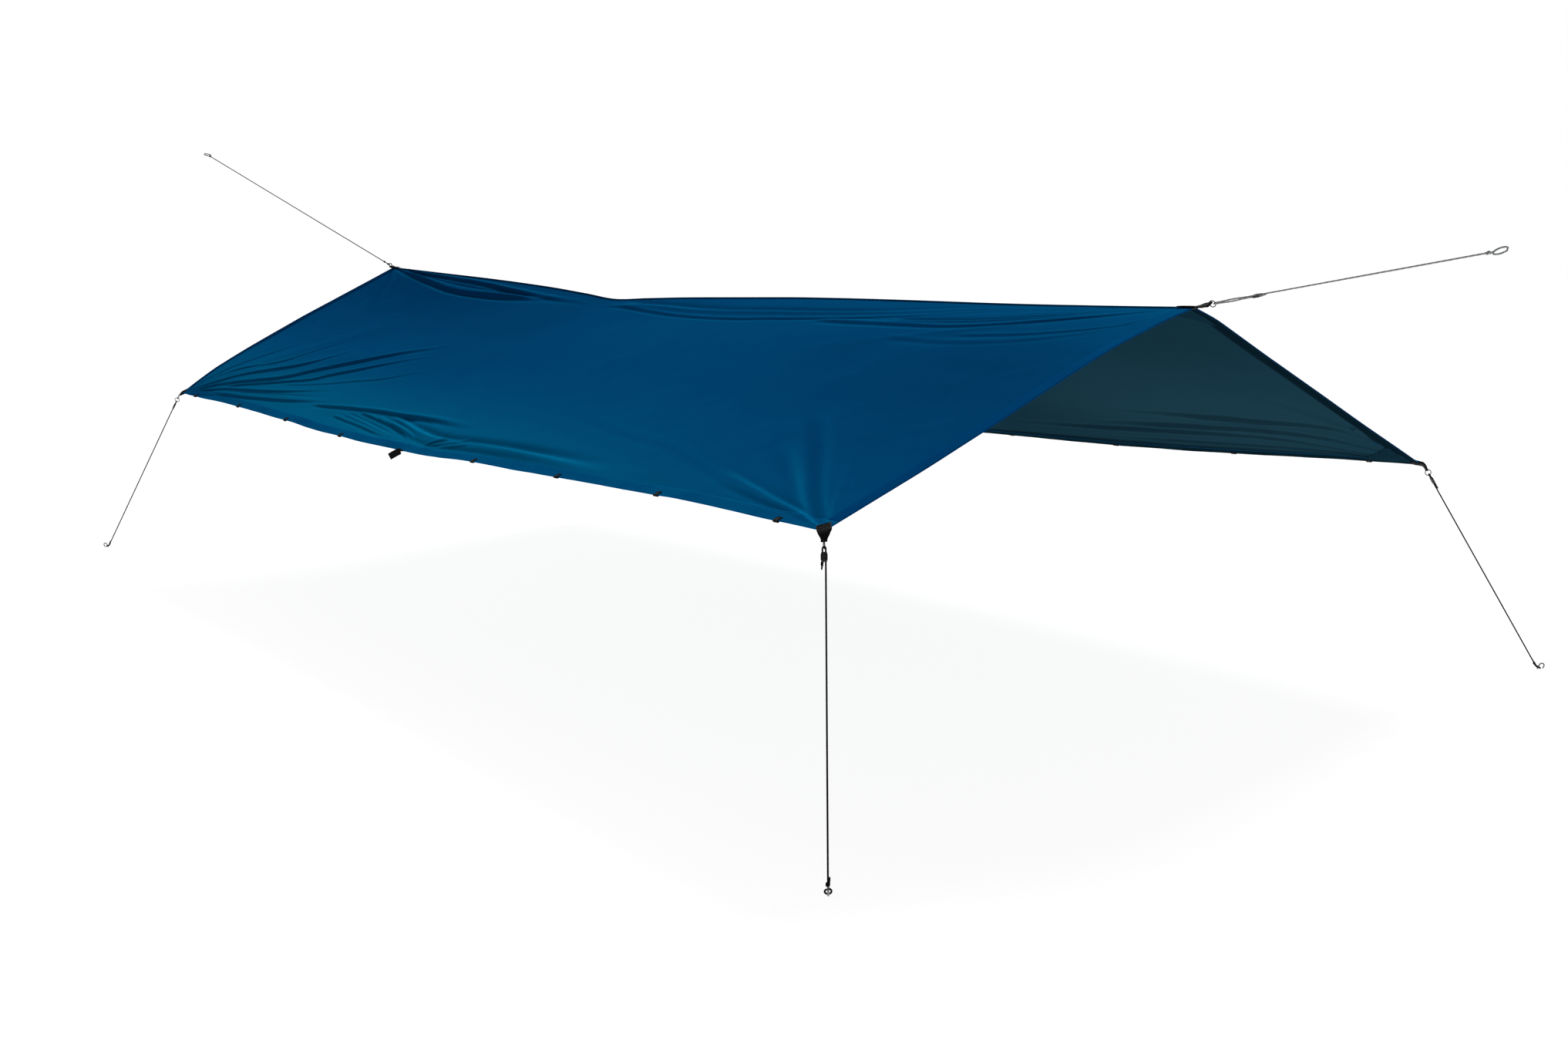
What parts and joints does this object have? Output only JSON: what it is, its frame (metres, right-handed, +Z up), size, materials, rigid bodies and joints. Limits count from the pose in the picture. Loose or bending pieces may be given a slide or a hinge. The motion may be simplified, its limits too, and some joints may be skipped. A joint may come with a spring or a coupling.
{
  "type": "tarp shelter",
  "caption": "Rectangular ridge-pitched tarp shelter: two hemmed cloth panels, webbing corners, guy lines with runners and pegs, and ridge cords.",
  "frame": {"origin": "on the ground, where the shank of the near left peg enters it", "axes": "+X along the ridge, +Z up with the ground at Z = 0, the near panel falls towards -Y and the far panel towards +Y"},
  "size_m": [6.8152, 2.9797, 1.9069],
  "materials": {
    "canopy_fabric": "coated plain-weave, low sheen",
    "hem_fabric": "rolled hem of the same cloth, darker",
    "patch_fabric": "reinforcement cloth",
    "seam_tape": "felled and taped ridge seam",
    "webbing": "black woven webbing",
    "black_cord": "black braided cord",
    "grey_cord": "grey reflective braided cord",
    "tensioner_plastic": "moulded, black",
    "corner_ring": "round wire ring",
    "peg_steel": "bent wire peg"
  },
  "bodies": {
    "ridge": {"ridge_seam_tape": "seam_tape", "ridge_tab_left": "webbing", "ridge_tab_right": "webbing"},
    "near_side": {"near_gable_hem_left": "hem_fabric", "near_gable_hem_right": "hem_fabric", "near_hem": "hem_fabric", "near_hem_loops": "webbing", "near_left_corner_patch": "patch_fabric", "near_left_gusset": "webbing", "near_mid_patch": "patch_fabric", "near_panel": "canopy_fabric", "near_ridge_patches": "patch_fabric", "near_right_corner_patch": "patch_fabric", "near_right_gusset": "webbing"},
    "near_pull_out": {"near_pull_out_loop": "webbing"},
    "far_side": {"far_gable_hem_left": "hem_fabric", "far_gable_hem_right": "hem_fabric", "far_hem": "hem_fabric", "far_hem_loops": "webbing", "far_left_corner_patch": "patch_fabric", "far_left_gusset": "webbing", "far_mid_patch": "patch_fabric", "far_panel": "canopy_fabric", "far_ridge_patches": "patch_fabric", "far_right_corner_patch": "patch_fabric", "far_right_gusset": "webbing"},
    "far_pull_out": {"far_pull_out_loop": "webbing"},
    "guy_near_left": {"guy_near_left_ring": "corner_ring", "guy_near_left_cord": "black_cord", "guy_near_left_return_cord": "black_cord", "guy_near_left_peg": "peg_steel"},
    "guy_near_left_runner": {"guy_near_left_tensioner": "tensioner_plastic", "guy_near_left_stopper_knot": "black_cord"},
    "guy_near_right": {"guy_near_right_ring": "corner_ring", "guy_near_right_cord": "black_cord", "guy_near_right_return_cord": "black_cord", "guy_near_right_peg": "peg_steel"},
    "guy_near_right_runner": {"guy_near_right_tensioner": "tensioner_plastic", "guy_near_right_stopper_knot": "black_cord"},
    "guy_far_left": {"guy_far_left_ring": "corner_ring", "guy_far_left_cord": "black_cord", "guy_far_left_return_cord": "black_cord", "guy_far_left_peg": "peg_steel"},
    "guy_far_left_runner": {"guy_far_left_tensioner": "tensioner_plastic", "guy_far_left_stopper_knot": "black_cord"},
    "guy_far_right": {"guy_far_right_ring": "corner_ring", "guy_far_right_cord": "black_cord", "guy_far_right_return_cord": "black_cord", "guy_far_right_peg": "peg_steel"},
    "guy_far_right_runner": {"guy_far_right_tensioner": "tensioner_plastic", "guy_far_right_stopper_knot": "black_cord"},
    "ridge_left_line": {"ridge_left_cord": "black_cord", "ridge_left_knots": "black_cord"},
    "ridge_right_line": {"ridge_right_ring": "corner_ring", "ridge_right_cord": "grey_cord", "ridge_right_return_cord": "grey_cord"},
    "ridge_right_runner": {"ridge_right_tensioner": "tensioner_plastic", "ridge_right_stopper_knot": "grey_cord"}
  },
  "joints": [
    {"name": "near_side_pitch", "type": "hinge", "parent": "ridge", "child": "near_side", "pos_m": [2.49752, 1.2916, 1.145], "axis": [0.9999, 0, -0.0112], "range_deg": [-3, 14]},
    {"name": "far_side_pitch", "type": "hinge", "parent": "ridge", "child": "far_side", "pos_m": [2.49752, 1.2916, 1.145], "axis": [-0.9999, 0, 0.0112], "range_deg": [-3, 14]},
    {"name": "guy_near_left_swing", "type": "hinge", "parent": "near_side", "child": "guy_near_left", "pos_m": [0.28547, 0.24398, 0.66161], "axis": [0.8275, -0.5367, -0.1648], "range_deg": [-48, 10]},
    {"name": "guy_near_left_runner_slide", "type": "slide", "parent": "guy_near_left", "child": "guy_near_left_runner", "axis": [-0.3796, -0.3184, -0.8686], "range_m": [-0.002, 0.35]},
    {"name": "guy_near_right_swing", "type": "hinge", "parent": "near_side", "child": "guy_near_right", "pos_m": [4.6886, 0.05345, 0.67083], "axis": [0.7606, 0.6421, 0.0959], "range_deg": [-48, 10]},
    {"name": "guy_near_right_runner_slide", "type": "slide", "parent": "guy_near_right", "child": "guy_near_right_runner", "axis": [0.3762, -0.3156, -0.8711], "range_m": [-0.002, 0.35]},
    {"name": "guy_far_left_swing", "type": "hinge", "parent": "far_side", "child": "guy_far_left", "pos_m": [0.28678, 2.49858, 0.60105], "axis": [-0.7921, -0.5939, 0.1412], "range_deg": [-48, 10]},
    {"name": "guy_far_left_runner_slide", "type": "slide", "parent": "guy_far_left", "child": "guy_far_left_runner", "axis": [-0.4071, 0.3416, -0.8471], "range_m": [-0.002, 0.35]},
    {"name": "guy_far_right_swing", "type": "hinge", "parent": "far_side", "child": "guy_far_right", "pos_m": [4.74299, 2.51926, 0.62418], "axis": [-0.7772, 0.6177, -0.1201], "range_deg": [-48, 10]},
    {"name": "guy_far_right_runner_slide", "type": "slide", "parent": "guy_far_right", "child": "guy_far_right_runner", "axis": [0.3965, 0.3327, -0.8556], "range_m": [-0.002, 0.35]},
    {"name": "near_pull_out_flop", "type": "hinge", "parent": "near_side", "child": "near_pull_out", "pos_m": [2.48497, 0.15702, 0.64996], "axis": [-0.999, 0.0436, -0.003], "range_deg": [-45, 45]},
    {"name": "far_pull_out_flop", "type": "hinge", "parent": "far_side", "child": "far_pull_out", "pos_m": [2.51297, 2.50019, 0.57693], "axis": [1, 0.0047, 0.0032], "range_deg": [-45, 45]},
    {"name": "ridge_left_line_swing", "type": "hinge", "parent": "ridge", "child": "ridge_left_line", "pos_m": [0.24258, 1.28929, 1.21123], "axis": [-0.1546, 0.9863, 0.0577], "range_deg": [-20, 20]},
    {"name": "ridge_right_line_swing", "type": "hinge", "parent": "ridge", "child": "ridge_right_line", "pos_m": [4.78478, 1.2916, 1.16459], "axis": [0.0808, -0.891, -0.4467], "range_deg": [-20, 20]},
    {"name": "ridge_right_runner_slide", "type": "slide", "parent": "ridge_right_line", "child": "ridge_right_runner", "axis": [0.984, 0, 0.178], "range_m": [-0.012, 0.45]}
  ],
  "couplings": [
    {"joint": "guy_near_left_swing", "follows": "near_side_pitch", "ratio": -2.83},
    {"joint": "guy_near_right_swing", "follows": "near_side_pitch", "ratio": -3.03},
    {"joint": "guy_far_left_swing", "follows": "far_side_pitch", "ratio": -3.09},
    {"joint": "guy_far_right_swing", "follows": "far_side_pitch", "ratio": -3.09}
  ]
}
